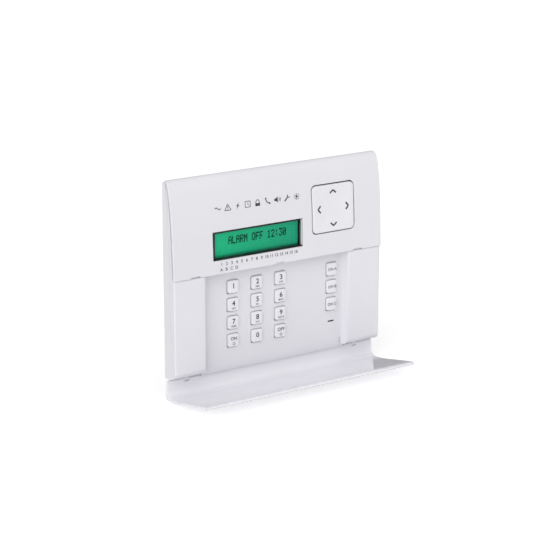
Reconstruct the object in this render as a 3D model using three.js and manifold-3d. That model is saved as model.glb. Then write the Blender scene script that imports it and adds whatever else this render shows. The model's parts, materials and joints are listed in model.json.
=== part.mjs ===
// Wall keypad for an alarm panel: two-piece case, display cover, keys, navigation pad and flip-down door.
//
// Frame, in millimetres: the wall face is the plane y = 0 and the front looks towards -Y, +Z is up and +X is
// to the right seen from the front. z = 0 is half way up the case. Most depths are given as d, the distance
// forward of the case's back edge, which itself stands BASE_DEPTH in front of the wall.

import * as THREE from "three";
import { mergeVertices } from "three/addons/utils/BufferGeometryUtils.js";
import Module from "manifold-3d";

const wasm = await Module();
wasm.setup();

// ---------------------------------------------------------------- driving dimensions

const CASE_WIDTH = 154;
const CASE_TOP = 64.5;
const CASE_BOTTOM = -63.2;
const BASE_DEPTH = 16;
const WALL = 2;
const GAP = 0.3;
const CORNER_RADIUS = 1.3;

const COVER_EDGE_Z = 3;
const COVER_THICKNESS = 1.3;

const DISPLAY = { x: -15.9, z: 20.68, width: 65.7, height: 18.1, seatMargin: 0.7 };
const LCD = { x: -14.6, z: 19.7, width: 60.9, height: 15.4 };
const SILL = { bottom: 11.93, top: 12.33, front: 11.2 };
const WINDOW = { bottom: 12.65, top: 29.4, back: 7.7, front: 8.7 };
const NAV = { x: 40.37, z: 33.28, d: 10.5, width: 31.4, height: 30.4, thickness: 3.2, lean: 3.5 };
const ICONS = { x: -15.7, z: 44.1, pitch: 7.18, count: 9 };

const RECESS = { left: -53.9, right: 51.6, floor: 5.5, slant: 1.8, top: 3.7, bottom: -63.95 };
const KEY = { width: 7.6, height: 8.1, front: 7.2, back: 3.3, flange: 1.0 };
const KEY_GAP = { side: 0.35, top: 0.35, bottom: 0.75 };
const KEY_COLUMNS = [-31.95, -14.4, 3.15];
const KEY_ROWS = [-8.4, -20.15, -31.95, -43.75];
const KEY_NAMES = [
  ["key_1", "key_2", "key_3"],
  ["key_4", "key_5", "key_6"],
  ["key_7", "key_8", "key_9"],
  ["key_on", "key_0", "key_off"],
];
const FUNCTION_KEY = { x: 42.3, drop: 0.4, width: 7.3, height: 8.3 };
const FUNCTION_NAMES = ["key_a", "key_b", "key_c"];
const FUNCTION_ROWS = KEY_ROWS.slice(0, 3).map((z) => z - FUNCTION_KEY.drop);
const SOUND_SLOT = { x: 42.75, z: -44.4, width: 4.8, height: 1.0 };

const BOARD = { left: -61, right: 61, bottom: -48, top: 49, front: -5.4, back: -7.0 };
const DOOR = { width: 155, hingeDepth: 1.2, hingeZ: -64.9, pinRadius: 0.6, lugRadius: 1.2 };
const LUG_GAP = 0.12;
const LUG_X = 63.5;

// ---------------------------------------------------------------- materials

function plastic(color, roughness) {
  return new THREE.MeshStandardMaterial({ color, roughness, metalness: 0 });
}

function metal(color, roughness) {
  return new THREE.MeshStandardMaterial({ color, roughness, metalness: 1 });
}

const CASE_WHITE = 0xdedde2;
const COVER_WHITE = 0xe6e5ea;
const KEY_WHITE = 0xe9e8ec;

// ---------------------------------------------------------------- solids

const forward = (d) => -(BASE_DEPTH + d);

function solid(geometry) {
  const plain = geometry.index ? geometry.toNonIndexed() : geometry.clone();
  for (const name of ["normal", "uv"]) plain.deleteAttribute(name);
  const merged = mergeVertices(plain, 1e-4);
  return new wasm.Manifold(new wasm.Mesh({
    numProp: 3,
    vertProperties: new Float32Array(merged.attributes.position.array),
    triVerts: new Uint32Array(merged.index.array),
  }));
}

function geometryOf(shape) {
  const { vertProperties, triVerts } = shape.getMesh();
  const geometry = new THREE.BufferGeometry();
  geometry.setAttribute("position", new THREE.BufferAttribute(vertProperties, 3));
  geometry.setIndex(new THREE.BufferAttribute(triVerts, 1));
  geometry.computeVertexNormals();
  return geometry;
}

function join(first, ...rest) {
  return rest.reduce((whole, piece) => whole.add(piece), first);
}

function cut(first, ...rest) {
  return rest.reduce((whole, piece) => whole.subtract(piece), first);
}

function roundedShape(width, height, radius) {
  const x = width / 2;
  const z = height / 2;
  const shape = new THREE.Shape();
  shape.moveTo(-x + radius, -z);
  shape.lineTo(x - radius, -z);
  shape.absarc(x - radius, -z + radius, radius, -Math.PI / 2, 0);
  shape.lineTo(x, z - radius);
  shape.absarc(x - radius, z - radius, radius, 0, Math.PI / 2);
  shape.lineTo(-x + radius, z);
  shape.absarc(-x + radius, z - radius, radius, Math.PI / 2, Math.PI);
  shape.lineTo(-x, -z + radius);
  shape.absarc(-x + radius, -z + radius, radius, Math.PI, 1.5 * Math.PI);
  return shape;
}

// A rounded plate facing the front, from depth d0 to d1.
function plate(x, z, width, height, radius, d0, d1, curveSegments = 4) {
  const geometry = new THREE.ExtrudeGeometry(roundedShape(width, height, radius), {
    depth: d1 - d0,
    bevelEnabled: false,
    curveSegments,
  });
  geometry.rotateX(Math.PI / 2);
  geometry.translate(x, forward(d0), z);
  return solid(geometry);
}

function block(x0, x1, d0, d1, z0, z1) {
  const geometry = new THREE.BoxGeometry(x1 - x0, d1 - d0, z1 - z0);
  geometry.translate((x0 + x1) / 2, forward((d0 + d1) / 2), (z0 + z1) / 2);
  return solid(geometry);
}

// A side profile of [d, z] points, carried along X.
function rail(profile, x0, x1) {
  const shape = new THREE.Shape(profile.map(([d, z]) => new THREE.Vector2(d, z)));
  const geometry = new THREE.ExtrudeGeometry(shape, { depth: x1 - x0, bevelEnabled: false });
  geometry.applyMatrix4(new THREE.Matrix4().set(
    0, 0, -1, x1,
    -1, 0, 0, -BASE_DEPTH,
    0, 1, 0, 0,
    0, 0, 0, 1,
  ));
  return solid(geometry);
}

// A plan profile of [x, d] points, carried up Z.
function column(profile, z0, z1) {
  const shape = new THREE.Shape(profile.map(([x, d]) => new THREE.Vector2(x, forward(d))));
  const geometry = new THREE.ExtrudeGeometry(shape, { depth: z1 - z0, bevelEnabled: false });
  geometry.translate(0, 0, z0);
  return solid(geometry);
}

// A round post from depth d0 to d1.
function post(x, z, radius, d0, d1, segments = 20) {
  const geometry = new THREE.CylinderGeometry(radius, radius, d1 - d0, segments);
  geometry.translate(x, forward((d0 + d1) / 2), z);
  return solid(geometry);
}

// A round bar along X.
function bar(x0, x1, d, z, radius, segments = 20) {
  const geometry = new THREE.CylinderGeometry(radius, radius, x1 - x0, segments);
  geometry.rotateZ(Math.PI / 2);
  geometry.translate((x0 + x1) / 2, forward(d), z);
  return solid(geometry);
}

const object = new THREE.Group();

function add(name, shape, material) {
  const geometry = shape.isBufferGeometry ? shape : geometryOf(shape);
  const mesh = new THREE.Mesh(geometry, material);
  mesh.name = name;
  object.add(mesh);
  return mesh;
}

// ---------------------------------------------------------------- shared outlines

const HALF = CASE_WIDTH / 2;
const CASE_HALF = HALF - GAP;
const OUTLINE_HEIGHT = CASE_TOP - CASE_BOTTOM - COVER_THICKNESS - GAP;
const OUTLINE_Z = CASE_BOTTOM + OUTLINE_HEIGHT / 2;

function caseOutline(d0, d1) {
  return plate(0, OUTLINE_Z, CASE_HALF * 2, OUTLINE_HEIGHT, CORNER_RADIUS, d0, d1, 5);
}

// The display cover's outer face as [d, z], from its lower edge up, over the top and back.
const COVER_OUTER = [
  [12.0, 3.0], [11.8, 8.5], [11.5, 14], [11.0, 24.5], [10.4, 35], [9.9, 40], [9.3, 45], [8.7, 49], [8.0, 53],
  [7.2, 57], [6.3, 60], [5.4, 62], [4.4, 63.4], [3.4, 64.2], [2.4, 64.5], [0.9, 64.5],
];

// The same line moved inwards by a distance.
function inset(line, distance) {
  return line.map(([d, z], i) => {
    const [d0, z0] = line[Math.max(i - 1, 0)];
    const [d1, z1] = line[Math.min(i + 1, line.length - 1)];
    const length = Math.hypot(d1 - d0, z1 - z0);
    return [d - (distance * (z1 - z0)) / length, z + (distance * (d1 - d0)) / length];
  });
}

const COVER_INNER = inset(COVER_OUTER, COVER_THICKNESS);
const CASE_FRONT = inset(COVER_OUTER, COVER_THICKNESS + GAP).slice(0, -1);

// ---------------------------------------------------------------- rear cover

const CASE_SCREWS = [[-71.3, 44], [71.3, 44], [-71.3, -53], [71.3, -53]];
const BOARD_SCREWS = [[-57.5, 45], [57.5, 45], [-57.5, -44], [57.5, -44]];
const DISPLAY_SCREWS = [[-51.15, 36], [20.85, 36], [-51.15, 5.6], [20.85, 5.6]];
const WALL_SLOTS = [[-42, 36], [42, 36], [-42, -36], [42, -36]];
const BASE = { x: 64, bottom: -51, top: 52 };
const TAMPER = { x: 30, z: -14 };

function hingeLug(side) {
  const x0 = side * LUG_X - 1.5;
  const x1 = side * LUG_X + 1.5;
  const { hingeDepth: d, hingeZ: z, lugRadius: r } = DOOR;
  const arm = join(block(x0, x1, d - r, d + r, z, CASE_BOTTOM + 1), bar(x0, x1, d, z, r));
  return cut(arm, bar(x0 - 1, x1 + 1, d, z, DOOR.pinRadius + 0.1));
}

function rearCover() {
  const rim = rail([[0, -63.2], [3.2, -62.9], [5.8, -61.9], [5.8, 20], [1.6, 62.9], [0, 62.9]],
    -CASE_HALF, CASE_HALF).intersect(caseOutline(-1, 14));
  const rimHollow = block(-CASE_HALF + WALL, CASE_HALF - WALL, -0.1, 9, -61.1, 60.9);
  const recessRelief = block(RECESS.left - 3, RECESS.right + 3, 3.4, 9, -66, -58);
  const baseHeight = BASE.top - BASE.bottom;
  const baseZ = (BASE.top + BASE.bottom) / 2;
  const box = plate(0, baseZ, BASE.x * 2, baseHeight, 5, -BASE_DEPTH, -1.5);
  const boxHollow = plate(0, baseZ, (BASE.x - WALL) * 2, baseHeight - 2 * WALL, 3, -BASE_DEPTH + WALL, 1);
  let cover = join(cut(rim, rimHollow, recessRelief), caseOutline(-2, 0.05), box);
  cover = cut(cover, boxHollow);
  cover = join(cover, ...BOARD_SCREWS.map(([x, z]) => post(x, z, 2.6, -14.5, BOARD.back - GAP)));
  cover = cut(cover, ...BOARD_SCREWS.map(([x, z]) => post(x, z, 1.15, -12, BOARD.back, 12)));
  cover = cut(cover, ...CASE_SCREWS.map(([x, z]) => post(x, z, 1.5, -3, 1, 16)));
  cover = cut(cover, ...WALL_SLOTS.map(([x, z]) => plate(x, z, 4.4, 9, 2.2, -17, -13)));
  cover = cut(cover, plate(0, 14, 26, 16, 3, -17, -13), post(TAMPER.x, TAMPER.z, 2.5, -17, -13));
  return join(cover, hingeLug(-1), hingeLug(1));
}

add("rear_cover", rearCover(), plastic(CASE_WHITE, 0.5));

// ---------------------------------------------------------------- front housing

// The keypad recess in plan, widened by a margin on each side.
function recessColumn(margin, d0, d1, z0, z1) {
  const spread = (RECESS.slant * (d1 - RECESS.floor)) / 6;
  const narrow = (RECESS.slant * (d0 - RECESS.floor)) / 6;
  const left = RECESS.left + RECESS.slant - margin;
  const right = RECESS.right - RECESS.slant + margin;
  return column([
    [left - spread, d1], [right + spread, d1], [right + narrow, d0], [left - narrow, d0],
  ], z0, z1);
}

function keyHole(x, z, key) {
  const width = key.width + 2 * KEY_GAP.side;
  const height = key.height + KEY_GAP.top + KEY_GAP.bottom;
  return plate(x, z + (KEY_GAP.top - KEY_GAP.bottom) / 2, width, height, 1.2, 2, 7, 3);
}

function keyHoles() {
  const holes = KEY_ROWS.flatMap((z) => KEY_COLUMNS.map((x) => keyHole(x, z, KEY)));
  const functionHoles = FUNCTION_ROWS.map((z) => keyHole(FUNCTION_KEY.x, z, FUNCTION_KEY));
  const slot = plate(SOUND_SLOT.x, SOUND_SLOT.z, SOUND_SLOT.width, SOUND_SLOT.height, 0.49, 2, 7, 2);
  const slotRelief = plate(SOUND_SLOT.x, SOUND_SLOT.z, 7.4, 3.6, 1, 2, 4.9, 2);
  return [...holes, ...functionHoles, slot, slotRelief];
}

function screwBosses() {
  return CASE_SCREWS.map(([x, z]) => post(x, z, 2.7, GAP, z > 0 ? 6.3 : 9.9));
}

function displayPosts() {
  return DISPLAY_SCREWS.map(([x, z]) => post(x, z, 1.8, -0.6, z > 20 ? 7.5 : 9));
}

// The bottom of each side pillar as [d, z], from its back edge round to its front face.
const PILLAR_BOTTOM = [[6.1, -61.8], [8.0, -60.8], [9.6, -59.7], [10.8, -58.2], [11.5, -56.4]];

// Recess floor and walls. The floor runs down past the pillars and curves back over the door's hinge line.
function recessPan() {
  const under = rail([[5.5, -61.9], ...PILLAR_BOTTOM, [12, -56.4], [12, -66], [5.5, -66]], -60, 60);
  const foot = rail([
    [5.5, -57.4], [5.4, -59.2], [5.15, -60.9], [4.8, -62.3], [4.1, -64.1], [6, -64.1], [6, -57.4],
  ], RECESS.left, RECESS.right);
  return cut(recessColumn(2, 3.7, 10.3, RECESS.bottom, RECESS.top + 1.5), under, foot);
}

// The step that leaves a shadow gap between the display cover's edge and the case side.
function sideGroove(side) {
  const band = [...inset(COVER_OUTER, 1), ...inset(COVER_OUTER, COVER_THICKNESS + 1.1).reverse()];
  const edge = side * CASE_HALF;
  return rail(band, Math.min(edge + side, edge - side * 3), Math.max(edge + side, edge - side * 3));
}

function frontHousing() {
  const outer = rail([
    ...PILLAR_BOTTOM, [11.5, 2.7], ...CASE_FRONT, [1.9, 62.9], [6.1, 20],
  ], -CASE_HALF, CASE_HALF).intersect(caseOutline(-1, 14));
  const inner = rail([
    [-2, -59.6], [7.0, -59.2], [9.4, -56.2], [9.5, 0], [8.4, 5],
    ...inset(COVER_OUTER, COVER_THICKNESS + GAP + WALL).slice(2, -4), [1.5, 60.9], [-2, 60.9],
  ], -CASE_HALF + WALL, CASE_HALF - WALL);
  const pocket = recessColumn(0, RECESS.floor, 13, -70, RECESS.top);
  const seat = DISPLAY.height + 2 * DISPLAY.seatMargin;
  const collar = plate(DISPLAY.x, DISPLAY.z, DISPLAY.width + 4, seat + 4, 1.5, 6.2, 9.2);
  const opening = plate(DISPLAY.x, DISPLAY.z, DISPLAY.width, seat, 0.6, 2, 14);
  const navHole = plate(NAV.x, NAV.z, NAV.width + 2.2, NAV.height + 2.2, 3.6, 2, 14);
  const iconHole = plate(ICONS.x, ICONS.z, 63.4, 4.4, 1, 2, 12);
  const shell = join(cut(outer, inner), recessPan(), ...screwBosses(), ...displayPosts(), collar);
  let housing = cut(shell, pocket, sideGroove(-1), sideGroove(1));
  housing = cut(housing, opening, navHole, iconHole, ...keyHoles());
  housing = cut(housing, ...CASE_SCREWS.map(([x, z]) => post(x, z, 1.35, 0, 4.4, 12)));
  return cut(housing, ...DISPLAY_SCREWS.map(([x, z]) => post(x, z, 1.0, -1, 3.4, 12)));
}

add("front_housing", frontHousing(), plastic(CASE_WHITE, 0.42));

// ---------------------------------------------------------------- display cover

function displayCover() {
  const sheet = rail([...COVER_OUTER, ...[...COVER_INNER].reverse()], -HALF, HALF);
  const corners = plate(0, (CASE_TOP + COVER_EDGE_Z) / 2 - 5, CASE_WIDTH, CASE_TOP - COVER_EDGE_Z + 10,
    CORNER_RADIUS, -1, 14, 5);
  const opening = plate(DISPLAY.x, DISPLAY.z, DISPLAY.width, DISPLAY.height, 0.6, 5, 14);
  const navHole = plate(NAV.x, NAV.z, NAV.width + 1.3, NAV.height + 1.3, 3.3, 5, 14);
  const notches = [-61.5, -0.6, 58.6].map((x) => plate(x, COVER_EDGE_Z, 6.4, 1.8, 0.5, 5, 14, 2));
  return cut(sheet.intersect(corners), opening, navHole, ...notches);
}

add("display_cover", displayCover(), plastic(COVER_WHITE, 0.35));

// ---------------------------------------------------------------- display

function displayWindow() {
  const height = WINDOW.top - WINDOW.bottom;
  const z = (WINDOW.top + WINDOW.bottom) / 2;
  return plate(DISPLAY.x, z, DISPLAY.width - 2 * GAP, height, 0.5, WINDOW.back, WINDOW.front);
}

add("display_window", displayWindow(), plastic(0xdfe8e4, 0.08));

// Black frame: a flange behind the collar, a ring round the glass and a sill under the window.
function lcdBezel() {
  const { x, z, width, height, seatMargin } = DISPLAY;
  const flange = plate(x, z, 71, 24, 1, 4.5, 5.9);
  const ring = plate(x, z, width - 2 * GAP, height + 2 * (seatMargin - GAP), 0.5, 5.8, 7.4);
  const sill = block(x - width / 2 + 0.5, x + width / 2 - 0.5, 6, SILL.front, SILL.bottom, SILL.top);
  const aperture = plate(LCD.x, LCD.z, LCD.width + 2 * GAP, LCD.height + 2 * GAP, 0.4, 4, 7.41);
  return cut(join(flange, ring, sill), aperture);
}

add("lcd_bezel", lcdBezel(), metal(0x1a1b1c, 0.45));
add("lcd_glass", plate(LCD.x, LCD.z, LCD.width, LCD.height, 0.4, 4.5, 6.5), plastic(0x35ba8b, 0.25));
add("lcd_backlight", plate(DISPLAY.x, DISPLAY.z, 69, 22, 1, -0.5, 4.2), plastic(0xf2f2ec, 0.5));

function lcdBoard() {
  const board = block(-55, 24.6, -2.4, -0.9, 2.6, 38.8);
  return cut(board, ...DISPLAY_SCREWS.map(([x, z]) => post(x, z, 1.1, -4, 1, 12)));
}

add("lcd_board", lcdBoard(), plastic(0x1f6b3a, 0.5));
add("display_header", block(-48, -10, -5.1, -2.7, 33.2, 35.6), plastic(0x151515, 0.6));

const iconX = (i) => ICONS.x + (i - (ICONS.count - 1) / 2) * ICONS.pitch;
const iconXs = Array.from({ length: ICONS.count }, (_, i) => iconX(i));

add("icon_light_guide", plate(ICONS.x, ICONS.z, 62.8, 3.8, 0.8, 3.7, 7.2, 3), plastic(0xe8eef0, 0.15));

function iconLedBoard() {
  const board = block(ICONS.x - 32, ICONS.x + 32, 0.6, 2.1, 40.6, 47.6);
  return join(board, ...iconXs.map((x) => block(x - 1, x + 1, 2, 3.3, ICONS.z - 0.7, ICONS.z + 0.7)));
}

add("icon_led_board", iconLedBoard(), plastic(0x1f6b3a, 0.5));

// ---------------------------------------------------------------- navigation pad

const navFrame = new THREE.Group();
navFrame.position.set(NAV.x, forward(NAV.d), NAV.z);
navFrame.rotation.x = THREE.MathUtils.degToRad(-NAV.lean);
object.add(navFrame);

// The pad's face is the group's plane y = 0.
function navPad() {
  const bevel = 0.5;
  const shape = roundedShape(NAV.width - 2 * bevel, NAV.height - 2 * bevel, 2.3);
  const geometry = new THREE.ExtrudeGeometry(shape, {
    depth: NAV.thickness - bevel,
    bevelSize: bevel,
    bevelThickness: bevel,
    bevelSegments: 2,
    curveSegments: 5,
  });
  geometry.rotateX(Math.PI / 2);
  geometry.translate(0, NAV.thickness - bevel, 0);
  const slab = solid(geometry);
  const back = new THREE.BoxGeometry(40, 4, 40);
  back.translate(0, NAV.thickness + 2 - bevel, 0);
  return geometryOf(cut(slab, solid(back)));
}

const navPadMesh = add("nav_pad", navPad(), plastic(KEY_WHITE, 0.38));
navFrame.add(navPadMesh);

const gimbal = new THREE.CylinderGeometry(6, 6, 1.6, 24);
const gimbalMesh = add("nav_gimbal", gimbal, plastic(0xc9c9cc, 0.5));
gimbalMesh.position.y = NAV.thickness + 1.4;
navFrame.add(gimbalMesh);

add("nav_switch", plate(NAV.x, NAV.z, 14, 14, 1, BOARD.front + GAP, 4.0, 2), plastic(0x202124, 0.5));

// ---------------------------------------------------------------- keys

// A cap with a bevelled face and a wider flange behind the recess floor.
function keyCap(width, height) {
  const bevel = 0.45;
  const geometry = new THREE.ExtrudeGeometry(roundedShape(width - 2 * bevel, height - 2 * bevel, 0.7), {
    depth: KEY.front - KEY.back,
    bevelSize: bevel,
    bevelThickness: bevel,
    bevelSegments: 2,
    curveSegments: 3,
  });
  geometry.rotateX(Math.PI / 2);
  geometry.translate(0, KEY.front - KEY.back + bevel, 0);
  const behind = new THREE.BoxGeometry(20, 6, 20);
  behind.translate(0, 3 + KEY.front - KEY.back, 0);
  const flange = new THREE.BoxGeometry(width + 1.8, KEY.flange, height + 1.8);
  flange.translate(0, KEY.front - KEY.back + KEY.flange / 2, 0);
  return geometryOf(join(cut(solid(geometry), solid(behind)), solid(flange)));
}

const digitCap = keyCap(KEY.width, KEY.height);
const functionCap = keyCap(FUNCTION_KEY.width, FUNCTION_KEY.height);

function addKey(name, cap, x, z) {
  const mesh = add(name, cap, plastic(KEY_WHITE, 0.4));
  mesh.position.set(x, forward(KEY.front), z);
}

KEY_ROWS.forEach((z, row) => KEY_COLUMNS.forEach((x, i) => addKey(KEY_NAMES[row][i], digitCap, x, z)));
FUNCTION_NAMES.forEach((name, row) => addKey(name, functionCap, FUNCTION_KEY.x, FUNCTION_ROWS[row]));

// Rubber mat on the board, with one round dome behind each key.
function keyMat() {
  const places = [
    ...KEY_ROWS.flatMap((z) => KEY_COLUMNS.map((x) => [x, z])),
    ...FUNCTION_ROWS.map((z) => [FUNCTION_KEY.x, z]),
  ];
  const sheet = cut(
    block(-39, 49, -5.1, -3.9, -48, -2.6),
    block(37, 50, -6, -3, -49, -38.2),
  );
  return join(sheet, ...places.map(([x, z]) => post(x, z, 2.6, -4, 1.0, 14)));
}

add("key_mat", keyMat(), plastic(0xb9bbbf, 0.75));

// ---------------------------------------------------------------- electronics

function mainBoard() {
  const board = block(BOARD.left, BOARD.right, BOARD.back, BOARD.front, BOARD.bottom, BOARD.top);
  return cut(board, ...BOARD_SCREWS.map(([x, z]) => post(x, z, 1.2, -9, -4, 12)));
}

add("main_board", mainBoard(), plastic(0x1f6b3a, 0.5));
add("buzzer", post(43.6, -43.4, 4.4, BOARD.front + GAP, 3.3, 24), plastic(0x111111, 0.5));
add("processor", block(-20, -6, -9.0, -7.3, -30, -16), plastic(0x17181a, 0.55));

function terminalBlock() {
  const body = block(-24, 24, -13.4, -7.3, 24, 33);
  const ways = Array.from({ length: 6 }, (_, i) => -20 + i * 8);
  const wells = ways.map((x) => post(x, 28.5, 2.4, -14, -10.5, 14));
  const mouths = ways.map((x) => block(x - 2.4, x + 2.4, -10.2, -8.2, 23, 29));
  return cut(body, ...wells, ...mouths);
}

add("terminal_block", terminalBlock(), plastic(0x2f6f4f, 0.5));

function tamperPlunger() {
  const stem = post(TAMPER.x, TAMPER.z, 2.1, -15.7, -13.2);
  return join(stem, post(TAMPER.x, TAMPER.z, 3.4, -13.6, -12.6));
}

add("tamper_switch",
  block(TAMPER.x - 6, TAMPER.x + 6, -11, -7.3, TAMPER.z - 3.5, TAMPER.z + 3.5),
  plastic(0x1b1c1f, 0.5));
add("tamper_plunger", tamperPlunger(), plastic(0xd8d8d4, 0.45));

// ---------------------------------------------------------------- screws

// Pan head at the back end of a shank that points forward, or the other way round when side is -1.
function screw(name, [x, z], seat, headRadius, headHeight, shankRadius, length, side) {
  const head = side > 0
    ? post(x, z, headRadius, seat - headHeight, seat, 18)
    : post(x, z, headRadius, seat, seat + headHeight, 18);
  const shank = side > 0
    ? post(x, z, shankRadius, seat - 0.2, seat + length, 10)
    : post(x, z, shankRadius, seat - length, seat + 0.2, 10);
  add(name, join(head, shank), metal(0xb9bcc0, 0.35));
}

CASE_SCREWS.forEach((place, i) => screw(`case_screw_${i + 1}`, place, -2.3, 2.4, 1.5, 0.95, 6, 1));
BOARD_SCREWS.forEach((place, i) => screw(`board_screw_${i + 1}`, place, -5.1, 2.3, 1.4, 0.8, 6, -1));
DISPLAY_SCREWS.forEach((place, i) => screw(`display_screw_${i + 1}`, place, -2.7, 1.9, 1.2, 0.65, 5, 1));

// ---------------------------------------------------------------- door

// Side profile of the open door as [d, z]: a short leg under the hinge, a tight inside curve and a long
// front leaf that rises gently to a turned-down lip.
const DOOR_INSIDE = [
  [2.4, -64.9], [2.4, -69.0], [2.9, -71.4], [4.3, -73.3], [6.6, -74.3], [10.5, -74.2], [16, -73.4],
  [23.4, -71.8], [30.5, -70.1], [37.4, -68.5], [44, -66.9], [48.2, -66.0], [50.0, -65.9],
];
const DOOR_OUTSIDE = [
  [50.9, -66.5], [51.0, -67.6], [50.4, -68.4], [49.4, -68.4], [48.4, -67.7], [44, -68.5], [37.4, -70.1],
  [30.5, -71.7], [21, -73.8], [11, -75.6], [4, -76.7], [2.2, -76.7], [0.9, -75.9], [0.4, -74.4],
  [0.4, -64.9], [0.7, -64.2], [1.4, -63.9], [2.1, -64.2],
];

function doorNotch(side) {
  const x = side * LUG_X;
  const reach = 1.5 + LUG_GAP;
  return block(x - reach, x + reach, -1, 4, DOOR.hingeZ - DOOR.lugRadius - LUG_GAP, -60);
}

function door() {
  const leaf = rail([...DOOR_INSIDE, ...DOOR_OUTSIDE], -DOOR.width / 2, DOOR.width / 2);
  const pin = (side) =>
    bar(side * LUG_X - 2.2, side * LUG_X + 2.2, DOOR.hingeDepth, DOOR.hingeZ, DOOR.pinRadius);
  return join(cut(leaf, doorNotch(-1), doorNotch(1)), pin(-1), pin(1));
}

add("door", door(), plastic(CASE_WHITE, 0.3));

export default object;
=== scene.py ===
import json
import math

import bmesh
import bpy
from mathutils import Matrix, Vector

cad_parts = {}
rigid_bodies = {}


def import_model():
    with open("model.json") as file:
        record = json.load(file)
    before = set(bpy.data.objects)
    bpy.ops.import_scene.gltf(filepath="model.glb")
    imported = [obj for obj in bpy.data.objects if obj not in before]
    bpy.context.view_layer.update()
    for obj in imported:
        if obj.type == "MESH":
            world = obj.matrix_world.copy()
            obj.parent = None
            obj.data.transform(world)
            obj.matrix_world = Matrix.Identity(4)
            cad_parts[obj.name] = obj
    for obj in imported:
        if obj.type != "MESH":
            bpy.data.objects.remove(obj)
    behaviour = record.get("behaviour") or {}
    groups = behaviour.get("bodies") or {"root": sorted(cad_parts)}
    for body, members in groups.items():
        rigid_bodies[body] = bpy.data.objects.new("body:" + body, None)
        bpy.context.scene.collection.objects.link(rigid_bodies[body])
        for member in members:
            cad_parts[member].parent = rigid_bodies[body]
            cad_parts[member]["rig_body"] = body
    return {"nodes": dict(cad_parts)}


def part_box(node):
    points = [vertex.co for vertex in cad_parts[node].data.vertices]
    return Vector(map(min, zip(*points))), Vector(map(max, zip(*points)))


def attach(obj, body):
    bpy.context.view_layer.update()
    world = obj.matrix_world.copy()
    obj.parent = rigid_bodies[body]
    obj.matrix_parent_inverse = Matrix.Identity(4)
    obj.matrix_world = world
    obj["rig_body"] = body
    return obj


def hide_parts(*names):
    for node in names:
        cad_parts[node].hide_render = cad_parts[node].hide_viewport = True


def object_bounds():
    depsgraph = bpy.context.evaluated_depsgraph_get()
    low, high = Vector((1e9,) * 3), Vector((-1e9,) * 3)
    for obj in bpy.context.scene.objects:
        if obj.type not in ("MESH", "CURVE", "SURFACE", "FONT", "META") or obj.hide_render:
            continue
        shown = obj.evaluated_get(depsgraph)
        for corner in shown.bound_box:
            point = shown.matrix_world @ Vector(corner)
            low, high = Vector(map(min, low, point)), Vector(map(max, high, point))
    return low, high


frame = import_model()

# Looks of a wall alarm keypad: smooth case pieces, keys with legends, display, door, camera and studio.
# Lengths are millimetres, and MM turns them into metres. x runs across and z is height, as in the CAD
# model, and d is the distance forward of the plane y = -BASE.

CAD_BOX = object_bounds()
MM = 0.001
BASE = 16.0


# ---------------------------------------------------------------- shared measures

def box_mm(node):
    """A CAD node's lowest and highest corners."""
    low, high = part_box(node)
    return low / MM, high / MM


COVER_LOW, COVER_HIGH = box_mm("display_cover")
HOUSING_HIGH = box_mm("front_housing")[1]
GLASS_LOW, GLASS_HIGH = box_mm("lcd_glass")
PAD_LOW, PAD_HIGH = box_mm("nav_pad")
DOOR_HIGH = box_mm("door")[1]

# Case: half widths of the cover and the housing, the cover's lower edge and top, the corner radius seen from
# the front, and the front face of the pillars. Cuts from the front start at IN_FRONT, past the whole case.
COVER_HALF, CASE_HALF = COVER_HIGH.x, HOUSING_HIGH.x
EDGE_Z, TOP_Z = COVER_LOW.z, COVER_HIGH.z
CORNER = 1.3
PILLAR_D = 11.5
IN_FRONT = 14

# Opening for the display in the cover, and the height of the seat behind it.
DISPLAY_X, DISPLAY_Z = -15.9, 20.68
DISPLAY_W, DISPLAY_H = 65.7, 18.1
SEAT_H = DISPLAY_H + 1.4

# Navigation pad: the middle of its face, its size along the face, its lean and the hollow in its face.
PAD_X = (PAD_LOW.x + PAD_HIGH.x) / 2
PAD_D, PAD_Z = 10.5, 33.28
PAD_W, PAD_H = PAD_HIGH.x - PAD_LOW.x, 30.4
PAD_LEAN = math.radians(3.5)
PAD_HOLLOW = 0.35

# Middle of the row of symbols, middle of the sound slot, and the door's two hinge pins (at plus and minus
# HINGE_X).
ICONS_X, ICONS_Z = -15.7, 44.1
SOUND_X, SOUND_Z = 42.75, -44.4
HINGE_X, HINGE_D, HINGE_Z = 63.5, 1.2, -64.9

# The recess that the keys stand in, and the keys.
RECESS_LEFT, RECESS_RIGHT, RECESS_FLOOR = -53.9, 51.6, 5.5
DIGIT_KEYS = ["key_1", "key_2", "key_3", "key_4", "key_5", "key_6", "key_7", "key_8", "key_9",
              "key_on", "key_0", "key_off"]
FUNCTION_KEYS = ["key_a", "key_b", "key_c"]


# ---------------------------------------------------------------- materials

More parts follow.
